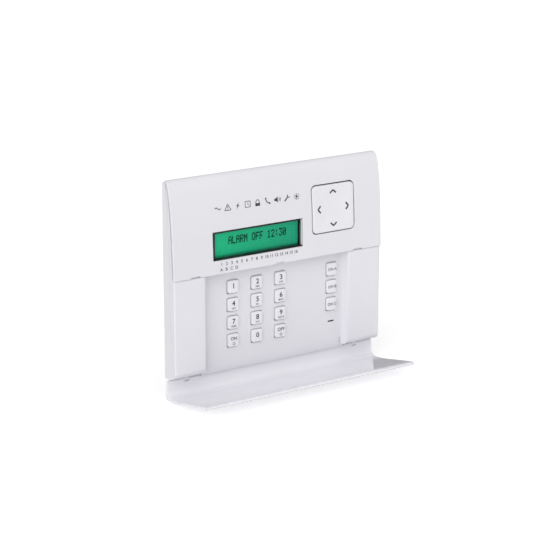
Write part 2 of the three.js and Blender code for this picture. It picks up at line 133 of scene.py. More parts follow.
class Nodes:
    """A short way to build a Principled material with procedural detail."""

    def __init__(self, name):
        self.material = bpy.data.materials.new(name)
        self.material.use_nodes = True
        self.tree = self.material.node_tree
        self.shader = self.tree.nodes["Principled BSDF"]
        self.coordinates = self.tree.nodes.new("ShaderNodeTexCoord").outputs["Object"]

    def new(self, kind, **inputs):
        node = self.tree.nodes.new(kind)
        for key, value in inputs.items():
            self.put(node.inputs[key.replace("_", " ")], value)
        return node

    def put(self, socket, value):
        if isinstance(value, bpy.types.NodeSocket):
            self.tree.links.new(value, socket)
        else:
            socket.default_value = value

    def set(self, **inputs):
        for key, value in inputs.items():
            self.put(self.shader.inputs[key.replace("_", " ")], value)

    def noise(self, scale, detail=2.0, roughness=0.5):
        node = self.new("ShaderNodeTexNoise", Vector=self.coordinates, Scale=scale, Detail=detail,
                        Roughness=roughness)
        return node.outputs["Fac"]

    def range(self, value, low, high, low_in=0.3, high_in=0.7):
        node = self.new("ShaderNodeMapRange", Value=value, From_Min=low_in, From_Max=high_in, To_Min=low,
                        To_Max=high)
        return node.outputs["Result"]

    def mix(self, factor, a, b):
        node = self.tree.nodes.new("ShaderNodeMix")
        node.data_type = "RGBA"
        self.put(node.inputs["Factor"], factor)
        self.put(node.inputs["A"], a)
        self.put(node.inputs["B"], b)
        return node.outputs["Result"]

    def math(self, operation, a, b=0.0):
        node = self.tree.nodes.new("ShaderNodeMath")
        node.operation = operation
        self.put(node.inputs[0], a)
        self.put(node.inputs[1], b)
        return node.outputs[0]

    def bump(self, height, strength, distance=0.0001):
        node = self.new("ShaderNodeBump", Height=height, Strength=strength, Distance=distance)
        self.put(self.shader.inputs["Normal"], node.outputs["Normal"])
        return node


def shade(color, factor):
    """A colour made lighter or darker, with an alpha of 1."""
    return tuple(min(1.0, c * factor) for c in color[:3]) + (1.0,)


def moulded_plastic(name, color, roughness, grain, grain_scale=5200, gloss_spread=0.05):
    """Moulded plastic: faint flow shading, a fine spark-eroded grain and uneven gloss."""
    n = Nodes(name)
    flow = n.noise(18, 3)
    tint = n.mix(n.range(flow, 0, 1), shade(color, 0.985), shade(color, 1.012))
    fine = n.noise(grain_scale, 1)
    smudge = n.noise(60, 4, 0.6)
    n.set(Base_Color=tint, Roughness=n.range(smudge, roughness - gloss_spread, roughness + gloss_spread),
          IOR=1.5)
    n.bump(fine, grain, 0.00004)
    return n.material


def printed_ink(name, color, roughness=0.55, shine=0.5):
    """Pad-printed ink with slightly uneven cover."""
    n = Nodes(name)
    speck = n.noise(9000, 2)
    tint = n.mix(n.range(speck, 0, 1), shade(color, 0.9), shade(color, 1.25))
    n.set(Base_Color=tint, Roughness=roughness, Specular_IOR_Level=shine)
    n.bump(speck, 0.15, 0.00002)
    return n.material


def display_green():
    """Back-lit display with a fine cell grid, dimmer towards its right edge, with painted shade darkening it
    towards its lower edge.
    """
    n = Nodes("display_green")
    split = n.new("ShaderNodeSeparateXYZ", Vector=n.coordinates)
    cell_pitch = 0.56 * MM
    grid = []
    for axis in ("X", "Z"):
        wave = n.math("FRACT", n.math("MULTIPLY", split.outputs[axis], 1 / cell_pitch))
        grid.append(n.math("GREATER_THAN", wave, 0.1))
    cell = n.math("MULTIPLY", grid[0], grid[1])
    across = n.range(split.outputs["X"], 1.0, 0.0, -40 * MM, 20 * MM)
    base = n.mix(across, (0.006, 0.26, 0.145, 1), (0.008, 0.41, 0.195, 1))
    tint = n.mix(cell, (0.007, 0.30, 0.16, 1), base)
    # Painted shade: towards its lower edge the display is darkened to near black, in place of the shadow
    # that falls there.
    low = n.range(split.outputs["Z"], 0.10, 1.0, 11.8 * MM, 13.8 * MM)
    tint = n.mix(low, (0.001, 0.02, 0.012, 1), tint)
    n.set(Base_Color=tint, Roughness=0.35, Specular_IOR_Level=0.15, Emission_Color=tint,
          Emission_Strength=0.3)
    return n.material


def clear_window():
    """Clear moulded window: see-through with a weak polish and a trace of dust."""
    n = Nodes("window_clear")
    dust = n.noise(400, 4)
    n.set(Base_Color=(0.97, 1.0, 0.985, 1), Roughness=n.range(dust, 0.0, 0.03), Transmission_Weight=1.0,
          IOR=1.12, Specular_IOR_Level=0.25)
    return n.material


def circuit_board():
    """Solder mask with copper tracks showing through as a lighter green."""
    n = Nodes("circuit_board")
    stretched = n.new("ShaderNodeMapping", Vector=n.coordinates, Scale=(900, 900, 300))
    tracks = n.new("ShaderNodeTexBrick", Vector=stretched.outputs["Vector"], Scale=1.0, Mortar_Size=0.08)
    mask = n.mix(tracks.outputs["Fac"], (0.008, 0.10, 0.035, 1), (0.02, 0.2, 0.07, 1))
    n.set(Base_Color=mask, Roughness=n.range(n.noise(700, 2), 0.25, 0.4))
    n.bump(tracks.outputs["Fac"], 0.3, 0.00003)
    return n.material


def rubber(name, color):
    """Matt silicone rubber."""
    n = Nodes(name)
    fine = n.noise(2600, 3)
    n.set(Base_Color=n.mix(n.range(fine, 0, 1), shade(color, 0.92), shade(color, 1.05)),
          Roughness=n.range(n.noise(90, 3), 0.6, 0.8))
    n.bump(fine, 0.2, 0.00005)
    return n.material


def steel(name, color, roughness):
    """Zinc-plated steel with fine turning marks."""
    n = Nodes(name)
    marks = n.noise(3000, 3)
    n.set(Base_Color=n.mix(n.range(marks, 0, 1), shade(color, 0.85), shade(color, 1.05)),
          Roughness=n.range(marks, roughness - 0.08, roughness + 0.1), Metallic=1.0)
    n.bump(marks, 0.12, 0.00003)
    return n.material


CASE = (0.71, 0.703, 0.738)
COVER = (0.70, 0.694, 0.726)
MATERIALS = {
    "case_plastic": moulded_plastic("case_plastic", CASE, 0.42, 0.20),
    "cover_plastic": moulded_plastic("cover_plastic", COVER, 0.34, 0.10),
    # Painted light: the door is the case's plastic, but its colour is made lighter to stand in for the
    # brighter light on its upturned face.
    "door_plastic": moulded_plastic("door_plastic", (0.79, 0.783, 0.82), 0.10, 0.02, gloss_spread=0.02),
    "key_plastic": moulded_plastic("key_plastic", (0.75, 0.747, 0.775), 0.38, 0.15),
    "nav_plastic": moulded_plastic("nav_plastic", (0.73, 0.727, 0.755), 0.36, 0.12),
    "inner_plastic": moulded_plastic("inner_plastic", (0.7, 0.7, 0.71), 0.5, 0.2),
    "black_plastic": moulded_plastic("black_plastic", (0.012, 0.012, 0.014), 0.45, 0.3),
    "terminal_plastic": moulded_plastic("terminal_plastic", (0.03, 0.17, 0.08), 0.45, 0.25),
    "display_green": display_green(),
    "window_clear": clear_window(),
    "display_frame": moulded_plastic("display_frame", (0.004, 0.006, 0.006), 0.5, 0.2),
    "circuit_board": circuit_board(),
    "mat_rubber": rubber("mat_rubber", (0.45, 0.46, 0.48)),
    "screw_steel": steel("screw_steel", (0.58, 0.59, 0.61), 0.3),
}
INK_DARK = printed_ink("ink_dark", (0.045, 0.045, 0.05))
INK_GREY = printed_ink("ink_grey", (0.11, 0.11, 0.12))
LCD_INK = printed_ink("lcd_ink", (0.001, 0.035, 0.022), 0.5, shine=0.05)


# ---------------------------------------------------------------- mesh helpers

def at(x, d, z):
    """The point in Blender's metres."""
    return Vector((x, -(BASE + d), z)) * MM


def new_object(name, bm):
    mesh = bpy.data.meshes.new(name)
    bm.to_mesh(mesh)
    bm.free()
    piece = bpy.data.objects.new(name, mesh)
    bpy.context.scene.collection.objects.link(piece)
    return piece


def prism(points, move):
    """A closed prism: each point is joined to the same point moved along a vector."""
    bm = bmesh.new()
    low = [bm.verts.new(p) for p in points]
    high = [bm.verts.new(Vector(p) + move) for p in points]
    bm.faces.new(low)
    bm.faces.new(list(reversed(high)))
    for i in range(len(points)):
        j = (i + 1) % len(points)
        bm.faces.new((low[j], low[i], high[i], high[j]))
    bmesh.ops.recalc_face_normals(bm, faces=bm.faces)
    return bm


def rail(profile, x0, x1):
    """A (d, z) outline drawn out across, from x0 to x1."""
    return prism([at(x0, d, z) for d, z in profile], Vector((x1 - x0, 0, 0)) * MM)


def column(profile, z0, z1):
    """An (x, d) outline drawn upwards, from z0 to z1."""
    return prism([at(x, d, z0) for x, d in profile], Vector((0, 0, z1 - z0)) * MM)


def rounded(width, height, radius, steps=6):
    """Corner points of a rounded rectangle about the origin, anticlockwise."""
    points = []
    for k, (sx, sz) in enumerate([(1, 1), (-1, 1), (-1, -1), (1, -1)]):
        cx, cz = sx * (width / 2 - radius), sz * (height / 2 - radius)
        for i in range(steps + 1):
            angle = math.pi / 2 * (k + i / steps)
            points.append((cx + radius * math.cos(angle), cz + radius * math.sin(angle)))
    return points


def plate(x, z, width, height, radius, d0, d1, steps=6):
    """A rounded rectangle seen from the front, from d0 to d1."""
    return prism([at(x + u, d0, z + v) for u, v in rounded(width, height, radius, steps)],
                 Vector((0, -(d1 - d0), 0)) * MM)


def skin(bm, loops):
    """Joins each loop of vertices to the next one with four-sided faces."""
    for a, b in zip(loops, loops[1:]):
        for i in range(len(a)):
            j = (i + 1) % len(a)
            bm.faces.new((a[i], a[j], b[j], b[i]))


def ring_plate(outer, inner, d0, d1, steps=4):
    """A frame from d0 to d1. outer and inner are (x, z, width, height, radius)."""
    bm = bmesh.new()
    loops = []
    for (x, z, width, height, radius), d in ((outer, d0), (outer, d1), (inner, d1), (inner, d0)):
        loops.append([bm.verts.new(at(x + u, d, z + v)) for u, v in rounded(width, height, radius, steps)])
    skin(bm, loops + loops[:1])
    bmesh.ops.recalc_face_normals(bm, faces=bm.faces)
    return bm


def block(x0, x1, d0, d1, z0, z1):
    """A plain box between two corners."""
    return prism([at(x0, d0, z0), at(x1, d0, z0), at(x1, d0, z1), at(x0, d0, z1)],
                 Vector((0, -(d1 - d0), 0)) * MM)


def circle(radius, steps):
    """Points of a circle about the origin, anticlockwise."""
    return [(radius * math.cos(2 * math.pi * i / steps), radius * math.sin(2 * math.pi * i / steps))
            for i in range(steps)]


def bar(x0, x1, d, z, radius, steps=24):
    """A round bar that runs across, from x0 to x1."""
    return rail([(d + u, z + v) for u, v in circle(radius, steps)], x0, x1)


def merge(pieces):
    """Several meshes as one, without joining what touches."""
    whole = bmesh.new()
    for bm in pieces:
        mesh = bpy.data.meshes.new("part")
        bm.to_mesh(mesh)
        bm.free()
        whole.from_mesh(mesh)
        bpy.data.meshes.remove(mesh)
    return whole


def applied(piece):
    """Replaces a piece's mesh by the result of its modifiers."""
    graph = bpy.context.evaluated_depsgraph_get()
    mesh = bpy.data.meshes.new_from_object(piece.evaluated_get(graph))
    piece.modifiers.clear()
    piece.data = mesh
    return piece


def boolean(piece, cutter_mesh, operation):
    """Cuts, joins or intersects a piece with a closed mesh."""
    cutter = new_object("cutter", cutter_mesh)
    modifier = piece.modifiers.new("boolean", "BOOLEAN")
    modifier.operation = operation
    modifier.object = cutter
    modifier.solver = "EXACT"
    applied(piece)
    bpy.data.objects.remove(cutter)
    return piece


def soften(piece, width, segments=3, angle=35):
    """Rounds the sharp edges and shades the rest smooth."""
    bm = bmesh.new()
    bm.from_mesh(piece.data)
    bmesh.ops.remove_doubles(bm, verts=bm.verts, dist=1e-5)
    bmesh.ops.dissolve_limit(bm, angle_limit=math.radians(0.8), verts=bm.verts, edges=bm.edges)
    bm.to_mesh(piece.data)
    bm.free()
    bevel = piece.modifiers.new("bevel", "BEVEL")
    bevel.width = width * MM
    bevel.segments = segments
    bevel.limit_method = "ANGLE"
    bevel.angle_limit = math.radians(angle)
    bevel.use_clamp_overlap = False
    bevel.harden_normals = False
    return smoothed(applied(piece))


def shade_smooth(piece, angle):
    """Shades a piece smooth, except across edges sharper than angle."""
    for polygon in piece.data.polygons:
        polygon.use_smooth = True
    piece.data.set_sharp_from_angle(angle=math.radians(angle))


def smoothed(piece, angle=40):
    """Shades a piece smooth, with its large faces kept flat."""
    shade_smooth(piece, angle)
    weighted = piece.modifiers.new("weighted", "WEIGHTED_NORMAL")
    weighted.keep_sharp = True
    return applied(piece)


def place(piece, body, slot, *nodes, material=None):
    """Gives a piece the material of its slot and its body, and hides the CAD nodes that it stands for."""
    piece.data.materials.clear()
    piece.data.materials.append(material or MATERIALS[slot])
    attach(piece, body)
    if nodes:
        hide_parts(*nodes)
    return piece


def smooth_line(points, step):
    """A Catmull-Rom curve through the points, sampled about every step."""
    out = []
    for i in range(len(points) - 1):
        p0 = Vector(points[max(i - 1, 0)])
        p1, p2 = Vector(points[i]), Vector(points[i + 1])
        p3 = Vector(points[min(i + 2, len(points) - 1)])
        count = max(1, round((p2 - p1).length / step))
        for k in range(count):
            t = k / count
            out.append(0.5 * (2 * p1 + (p2 - p0) * t + (2 * p0 - 5 * p1 + 4 * p2 - p3) * t * t
                              + (3 * p1 - p0 - 3 * p2 + p3) * t ** 3))
    out.append(Vector(points[-1]))
    return [(p.x, p.y) for p in out]


def inset(line, distance):
    """The line moved inwards by a distance, point by point."""
    out = []
    for i, (d, z) in enumerate(line):
        d0, z0 = line[max(i - 1, 0)]
        d1, z1 = line[min(i + 1, len(line) - 1)]
        length = math.hypot(d1 - d0, z1 - z0)
        out.append((d - distance * (z1 - z0) / length, z + distance * (d1 - d0) / length))
    return out


def refined(node, width, slot, segments=2, angle=35):
    """A CAD node's shape with rounded edges, standing for that node."""
    source = frame["nodes"][node]
    piece = bpy.data.objects.new(node + "_fine", source.data.copy())
    bpy.context.scene.collection.objects.link(piece)
    soften(piece, width, segments, angle)
    return place(piece, source["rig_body"], slot, node)


# ---------------------------------------------------------------- display cover

COVER_LINE = smooth_line([
    (12.0, EDGE_Z), (11.5, 14), (11.0, 24.5), (10.4, 35), (9.3, 45), (8.0, 53), (7.2, 57), (6.3, 60),
    (5.4, 62), (4.4, 63.4), (3.4, 64.2), (2.4, TOP_Z), (0.9, TOP_Z),
], 1.0)
COVER_LINE = [(d, min(z, TOP_Z)) for d, z in COVER_LINE]


def cover_depth(z):
    """The d of the cover's face at a height."""
    for (d0, z0), (d1, z1) in zip(COVER_LINE, COVER_LINE[1:]):
        if z0 <= z <= z1 and z1 > z0:
            return d0 + (d1 - d0) * (z - z0) / (z1 - z0)
    return COVER_LINE[0][0]


def display_cover():
    """The curved cover, with openings for the display and the pad, and three notches in its lower edge."""
    wall = 1.3
    below = 10
    piece = new_object("display_cover_fine",
                       rail(COVER_LINE + inset(COVER_LINE, wall)[::-1], -COVER_HALF, COVER_HALF))
    height = TOP_Z - EDGE_Z + below
    outline = plate(0, TOP_Z - height / 2, COVER_HALF * 2, height, CORNER, -1, IN_FRONT, 8)
    boolean(piece, outline, "INTERSECT")
    cuts = [
        plate(DISPLAY_X, DISPLAY_Z, DISPLAY_W, DISPLAY_H, 0.6, 5, IN_FRONT),
        plate(PAD_X, PAD_Z, PAD_W + 1.3, PAD_H + 1.3, 3.3, 5, IN_FRONT, 10),
    ]
    cuts += [plate(x, EDGE_Z, 6.4, 1.8, 0.5, 5, IN_FRONT, 4) for x in (-61.5, -0.6, 58.6)]
    boolean(piece, merge(cuts), "DIFFERENCE")
    soften(piece, 0.45, 3)
    return place(piece, "housing", "cover_plastic", "display_cover")


# ---------------------------------------------------------------- front housing

def arc(cx, cz, radius, start, end, steps):
    """Points on an arc, angles in degrees."""
    return [(cx + radius * math.cos(math.radians(start + (end - start) * i / steps)),
             cz + radius * math.sin(math.radians(start + (end - start) * i / steps)))
            for i in range(steps + 1)]


def recess_plan():
    """The recess in plan: slanted sides, rounded over at the front and filleted at the floor."""
    rim_x = RECESS_LEFT - 1.75
    foot_x = RECESS_LEFT + 1.8
    left = [(rim_x, IN_FRONT)] + arc(rim_x, 9.81, 1.7, 90, 12, 10)
    fillet = [(-0.45, 1.15), (-0.15, 0.6), (0.4, 0.22), (1.1, 0.05), (1.8, 0)]
    left += [(foot_x + x, RECESS_FLOOR + d) for x, d in fillet]
    right = [(RECESS_LEFT + RECESS_RIGHT - x, d) for x, d in left]
    return left + right[::-1]


def recess_foot():
    """What is taken off the recess's floor at its lower end, where it curves back towards the wall."""
    curve = [(RECESS_FLOOR, -56.4), (5.47, -57.8), (5.38, -59.2), (5.2, -60.6), (4.92, -61.9),
             (4.55, -63.0), (4.1, -64.1)]
    return rail(curve + [(6, -64.1), (6, -56.4)], RECESS_LEFT, RECESS_RIGHT)


def corner_cut(side, radius, z0, z1):
    """What is taken off a pillar's outer front edge to round it."""
    inner_x, outer_x = CASE_HALF - radius, CASE_HALF + 1
    points = [(outer_x, PILLAR_D - radius)] + arc(inner_x, PILLAR_D - radius, radius, 0, 90, 8)
    points += [(inner_x, PILLAR_D + 1), (outer_x, PILLAR_D + 1)]
    return column([(side * x, d) for x, d in points], z0, z1)


def side_groove(side):
    """The step in the case side, seen as a line beside the display cover."""
    start = EDGE_Z + 0.6
    reach = 3
    lines = []
    for depth in (1.0, 3.0):
        line = [(d, z) for d, z in inset(COVER_LINE, depth) if z > start + 0.5]
        lines.append([(cover_depth(start) - depth, start)] + line)
    ends = sorted((side * (CASE_HALF + 1), side * (CASE_HALF - reach)))
    return rail(lines[0] + lines[1][::-1], *ends)


def pillar_foot():
    """The curve from the pillars' front face down and back to the gap over the door."""
    bend = arc(PILLAR_D - 5.1, -56.2, 5.1, 0, -62, 12)
    return [(6.1, -61.8), (7.6, -61.1)] + bend[::-1]


def housing_shell():
    """The hollow form: pillars below, and above them the surface that the display cover lies on."""
    wall = 2
    front = [(d, z) for d, z in inset(COVER_LINE, 1.6) if d > 2.4 and z < HOUSING_HIGH.z]
    outer = pillar_foot() + [(PILLAR_D, EDGE_Z - 0.3)] + front
    outer += [(2.1, HOUSING_HIGH.z), (1.9, HOUSING_HIGH.z), (6.1, 20)]
    piece = new_object("front_housing_fine", rail(outer, -CASE_HALF, CASE_HALF))
    foot_z = -63.2
    height = HOUSING_HIGH.z - foot_z
    outline = plate(0, HOUSING_HIGH.z - height / 2, CASE_HALF * 2, height, CORNER, -1, IN_FRONT, 8)
    boolean(piece, outline, "INTERSECT")
    inner = [(-2, -59.6), (7.0, -59.2), (9.4, -56.2), (9.5, 0), (8.4, 5)]
    inner += [(d, z) for d, z in inset(COVER_LINE, 3.6) if 8 < z < 60] + [(1.5, 60.9), (-2, 60.9)]
    boolean(piece, rail(inner, -CASE_HALF + wall, CASE_HALF - wall), "DIFFERENCE")
    return piece


def recess_pan():
    """The solid that the recess is cut into, shaped like the pillars at its lower end."""
    plan = [(RECESS_LEFT - 0.7, 3.7), (RECESS_RIGHT + 0.7, 3.7), (RECESS_RIGHT + 1.9, 10.3),
            (RECESS_LEFT - 1.9, 10.3)]
    pan = new_object("pan", column(plan, -63.95, EDGE_Z + 2.2))
    below = [(5.5, -61.9)] + pillar_foot() + [(12, -56.4), (12, -66), (5.5, -66)]
    boolean(pan, rail(below, -60, 60), "DIFFERENCE")
    solid = bmesh.new()
    solid.from_mesh(pan.data)
    bpy.data.objects.remove(pan)
    return solid


def housing_openings():
    """Openings for the display, pad, symbols' light, sound and keys, and the rounding of the pillars."""
    cuts = [
        plate(DISPLAY_X, DISPLAY_Z, DISPLAY_W, SEAT_H, 0.6, 2, IN_FRONT),
        plate(PAD_X, PAD_Z, PAD_W + 2.2, PAD_H + 2.2, 3.6, 2, IN_FRONT),
        plate(ICONS_X, ICONS_Z, 63.4, 4.4, 1, 2, 12),
        plate(SOUND_X, SOUND_Z, 4.8, 1.0, 0.49, 2, 7),
    ]
    for node in DIGIT_KEYS + FUNCTION_KEYS:
        low, high = box_mm(node)
        cuts.append(plate((low.x + high.x) / 2, (low.z + high.z) / 2 - 0.2, high.x - low.x - 1.1,
                          high.z - low.z - 0.7, 1.2, 2, 7))
    cuts += [corner_cut(side, 1.05, -64, EDGE_Z + 3) for side in (-1, 1)]
    return merge(cuts)


def front_housing():
    """The front half of the case, with the recess for the keys and a groove beside the display cover."""
    piece = housing_shell()
    boolean(piece, recess_pan(), "UNION")
    collar = plate(DISPLAY_X, DISPLAY_Z, DISPLAY_W + 4, SEAT_H + 4, 1.5, 6.2, 9.2)
    boolean(piece, collar, "UNION")
    boolean(piece, column(recess_plan(), -70, EDGE_Z + 0.7), "DIFFERENCE")
    boolean(piece, recess_foot(), "DIFFERENCE")
    for side in (-1, 1):
        boolean(piece, side_groove(side), "DIFFERENCE")
    boolean(piece, housing_openings(), "DIFFERENCE")
    soften(piece, 0.2, 3)
    sound_relief = plate(SOUND_X, SOUND_Z, 7.4, 3.6, 1, 2, 4.9)
    boolean(piece, sound_relief, "DIFFERENCE")
    smoothed(piece)
    return place(piece, "housing", "case_plastic", "front_housing")


# ---------------------------------------------------------------- door

def door():
    """The door, swung down: a curved panel with a rolled lip, and two hinge notches with a pin in each."""
    inside = smooth_line([
        (2.4, -64.9), (2.4, -69.0), (2.9, -71.4), (4.3, -73.3), (6.6, -74.3), (10.5, -74.2), (16, -73.4),
        (23.4, -71.8), (30.5, -70.1), (37.4, -68.5), (44, -66.9), (48.2, -66.0), (50.6, -65.95),
    ], 0.7)
    outside = smooth_line([
        (50.6, -65.95), (50.9, -66.15), (50.45, -67.0), (49.7, -67.8), (48.4, -68.0), (44, -68.5),
        (37.4, -70.1), (30.5, -71.7), (21, -73.8), (11, -75.6), (4, -76.58), (2.2, -76.6), (0.9, -75.9),
        (0.4, -74.4), (0.4, -64.9),
    ], 0.7)[1:]
    top = [(0.7, -64.2), (1.0, -63.98), (1.4, -63.9), (1.8, -63.98), (2.1, -64.2), (2.3, -64.5)]
    half = DOOR_HIGH.x
    piece = new_object("door_fine", rail(inside + outside + top, -half, half))
    soften(piece, 0.18, 3, 40)
    notches = [block(x - 1.56, x + 1.56, -1, 4, -66.16, -60) for x in (-HINGE_X, HINGE_X)]
    boolean(piece, merge(notches), "DIFFERENCE")
    pins = [bar(x - 2.2, x + 2.2, HINGE_D, HINGE_Z, 0.6) for x in (-HINGE_X, HINGE_X)]
    boolean(piece, merge(pins), "UNION")
    smoothed(piece)
    return place(piece, "door", "door_plastic", "door")


# ---------------------------------------------------------------- keys

CAP_EDGE = 0.45
CAP_RIM = 0.1


def pillow(width, height, radius, thickness, crown, rings=5, steps=6):
    """A rounded-rectangle cap about the origin, with its back at y = thickness and its face towards -Y.
    The softly crowned face starts at y = CAP_RIM, inside an edge rounded by CAP_EDGE."""
    bm = bmesh.new()
    levels = [(0.0, thickness), (0.0, CAP_RIM + CAP_EDGE)]
    for angle in (22, 45, 68, 90):
        turn = math.radians(angle)
        levels.append((CAP_EDGE * (1 - math.cos(turn)), CAP_RIM + CAP_EDGE * (1 - math.sin(turn))))
    loops = []
    for shrink, depth in levels:
        outline = rounded(width - 2 * shrink, height - 2 * shrink, max(radius - shrink, 0.3), steps)
        loops.append([bm.verts.new(Vector((x, depth, z)) * MM) for x, z in outline])
    inner_w, inner_h = width - 2 * CAP_EDGE, height - 2 * CAP_EDGE
    for k in range(1, rings + 1):
        scale = 1 - k / (rings + 1)
        outline = rounded(inner_w * scale, inner_h * scale, max((radius - CAP_EDGE) * scale, 0.1), steps)
        depth = CAP_RIM - crown * (1 - scale ** 2)
        loops.append([bm.verts.new(Vector((x, depth, z)) * MM) for x, z in outline])
    skin(bm, loops)
    bm.faces.new(loops[0])
    bm.faces.new(list(reversed(loops[-1])))
    bmesh.ops.recalc_face_normals(bm, faces=bm.faces)
    return bm


def text_mesh(text, height, bold=0.0):
    """Flat glyphs centred on the origin in the x-y plane. height is that of their capitals."""
    capital = 0.73  # height of a capital letter at size 1
    curve = bpy.data.curves.new("glyph", "FONT")
    curve.body = text
    curve.size = height / capital
    curve.offset = bold
    curve.align_x = "CENTER"
    curve.align_y = "CENTER"
    curve.resolution_u = 4
    holder = bpy.data.objects.new("glyph", curve)
    bpy.context.scene.collection.objects.link(holder)
    graph = bpy.context.evaluated_depsgraph_get()
    graph.update()
    mesh = bpy.data.meshes.new_from_object(holder.evaluated_get(graph))
    bpy.data.objects.remove(holder)
    bm = bmesh.new()
    bm.from_mesh(mesh)
    bpy.data.meshes.remove(mesh)
    return bm


def flat(points):
    """A filled outline in the x-y plane."""
    bm = bmesh.new()
    bm.faces.new([bm.verts.new((x, y, 0)) for x, y in points])
    return bm


def stroke(points, width, closed=False):
    """A line through points in the x-y plane, drawn a fifth wider than width so that it reads from afar."""
    half = width * 0.6
    parts = []
    ends = points[1:] + points[:1] if closed else points[1:]
    for (x0, y0), (x1, y1) in zip(points, ends):
        length = math.hypot(x1 - x0, y1 - y0)
        nx, ny = -(y1 - y0) / length * half, (x1 - x0) / length * half
        parts.append(flat([(x0 + nx, y0 + ny), (x0 - nx, y0 - ny), (x1 - nx, y1 - ny), (x1 + nx, y1 + ny)]))
    return merge(parts)


def moved(bm, x, y, scale=1.0):
    """Flat marks scaled about the origin and then moved."""
    for v in bm.verts:
        v.co = Vector((v.co.x * scale + x, v.co.y * scale + y, 0))
    return bm


def faced_forward(bm):
    """Turns every face towards -Y."""
    for face in bm.faces:
        face.normal_update()
        if face.normal.y > 0:
            face.normal_flip()
    return bm


def printed(name, bm, depth_of, lift=0.03):
    """Raises flat marks in x-y onto a surface: y becomes height, and depth_of(z) gives the surface's d."""
    bmesh.ops.triangulate(bm, faces=bm.faces)
    for v in bm.verts:
        x, z = v.co.x, v.co.y
        v.co = at(x, depth_of(z) + lift, z)
    return new_object(name, faced_forward(bm))


KEY_LEGENDS = {
    "key_1": ("1", ""), "key_2": ("2", "ABC"), "key_3": ("3", "DEF"), "key_4": ("4", "GHI"),
    "key_5": ("5", "JKL"), "key_6": ("6", "MNO"), "key_7": ("7", "PQRS"), "key_8": ("8", "TUV"),
    "key_9": ("9", "WXYZ"), "key_on": ("ON", ""), "key_0": ("0", ""), "key_off": ("OFF", ""),
    "key_a": ("ON A", ""), "key_b": ("ON B", ""), "key_c": ("ON C", ""),
}


def key(node):
    """A crowned cap on its skirt, and its printed legend."""
    skirt_w, rise, crown = 0.9, 3.4, 0.12
    low, high = box_mm(node)
    x, z = (low.x + high.x) / 2, (low.z + high.z) / 2
    front = -low.y - BASE
    cap = pillow(high.x - low.x - 2 * skirt_w, high.z - low.z - 2 * skirt_w, 1.1, rise, crown)
    cap.transform(Matrix.Translation(at(x, front, z)))
    skirt = block(low.x, high.x, front - rise - 1, front - rise, low.z, high.z)
    piece = new_object(node + "_cap", merge([cap, skirt]))
    shade_smooth(piece, 50)
    place(piece, node, "key_plastic", node)
    top, small = KEY_LEGENDS[node]
    if node in FUNCTION_KEYS:
        marks = [moved(text_mesh(top, 1.9, 0.03), x, z)]
    elif top in ("ON", "OFF"):
        marks = [moved(text_mesh(top, 2.2, 0.05), x, z + 1.2)]
        marks.append(moved(stroke(circle(0.75, 18), 0.26, True), x, z - 2.0))
    else:
        marks = [moved(text_mesh(top, 3.3, 0.09), x, z + (0.8 if small else 0.5))]
    if small:
        marks.append(moved(text_mesh(small, 1.15, 0.02), x, z - 2.35))
    legend = printed(node + "_legend", merge(marks), lambda height: front - CAP_RIM + crown, 0.02)
    place(legend, node, "key_plastic", material=INK_DARK)


# ---------------------------------------------------------------- navigation pad

def pad_point(u, v, depth):
    """A point on the pad: u across, v up its face, depth behind the face."""
    c, s = math.cos(PAD_LEAN), math.sin(PAD_LEAN)
    return at(PAD_X, PAD_D, PAD_Z) + Vector((u, depth * c + v * s, v * c - depth * s)) * MM


def pad_dish(u, v):
    """How far the pad's face is hollowed at a point."""
    reach = max(abs(u), abs(v)) / (PAD_W / 2)
    return PAD_HOLLOW * (1 - min(1, reach * 1.15) ** 2)


def nav_pad():
    """The square pad with its hollowed face, and four printed arrows."""
    cap = pillow(PAD_W, PAD_H, 2.9, 3.2, 0.0, 6, 8)
    for vert in cap.verts:
        u, depth, v = vert.co / MM
        on_face = depth < 2 * CAP_RIM
        vert.co = pad_point(u, v, depth + (pad_dish(u, v) if on_face else 0))
    piece = new_object("nav_pad_cap", cap)
    shade_smooth(piece, 50)
    place(piece, "nav_pad", "nav_plastic", "nav_pad")
    arrow_reach, lift = 10.6, 0.06
    arrows = []
    for turn in (0, 90, 180, 270):
        arrow = stroke([(-2.3, -1.0), (0, 1.0), (2.3, -1.0)], 0.85)
        arrow.transform(Matrix.Translation((0, arrow_reach, 0)))
        arrow.transform(Matrix.Rotation(math.radians(turn), 4, "Z"))
        arrows.append(arrow)
    marks = merge(arrows)
    for vert in marks.verts:
        u, v = vert.co.x, vert.co.y
        vert.co = pad_point(u, v, CAP_RIM + pad_dish(u, v) - lift)
    piece = new_object("nav_pad_arrows", faced_forward(marks))
    place(piece, "nav_pad", "nav_plastic", material=INK_DARK)


# ---------------------------------------------------------------- display

GLYPHS = {
    "A": "01110 10001 10001 11111 10001 10001 10001",
    "L": "10000 10000 10000 10000 10000 10000 11111",
    "R": "11110 10001 10001 11110 10100 10010 10001",
    "M": "10001 11011 10101 10101 10001 10001 10001",
    "O": "01110 10001 10001 10001 10001 10001 01110",
    "F": "11111 10000 10000 11110 10000 10000 10000",
    "0": "01110 10001 10011 10101 11001 10001 01110",
    "1": "00100 01100 00100 00100 00100 00100 01110",
    "2": "01110 10001 00001 00010 00100 01000 11111",
    "3": "11111 00010 00100 00010 00001 10001 01110",
    ":": "00000 00100 00100 00000 00100 00100 00000",
}
MESSAGE = "ALARM OFF 12:30"
MESSAGE_X, MESSAGE_Z = -14.2, 22.0
LETTER_PITCH = 2.84
DOT_PITCH_X, DOT_PITCH_Z = 0.46, 0.7


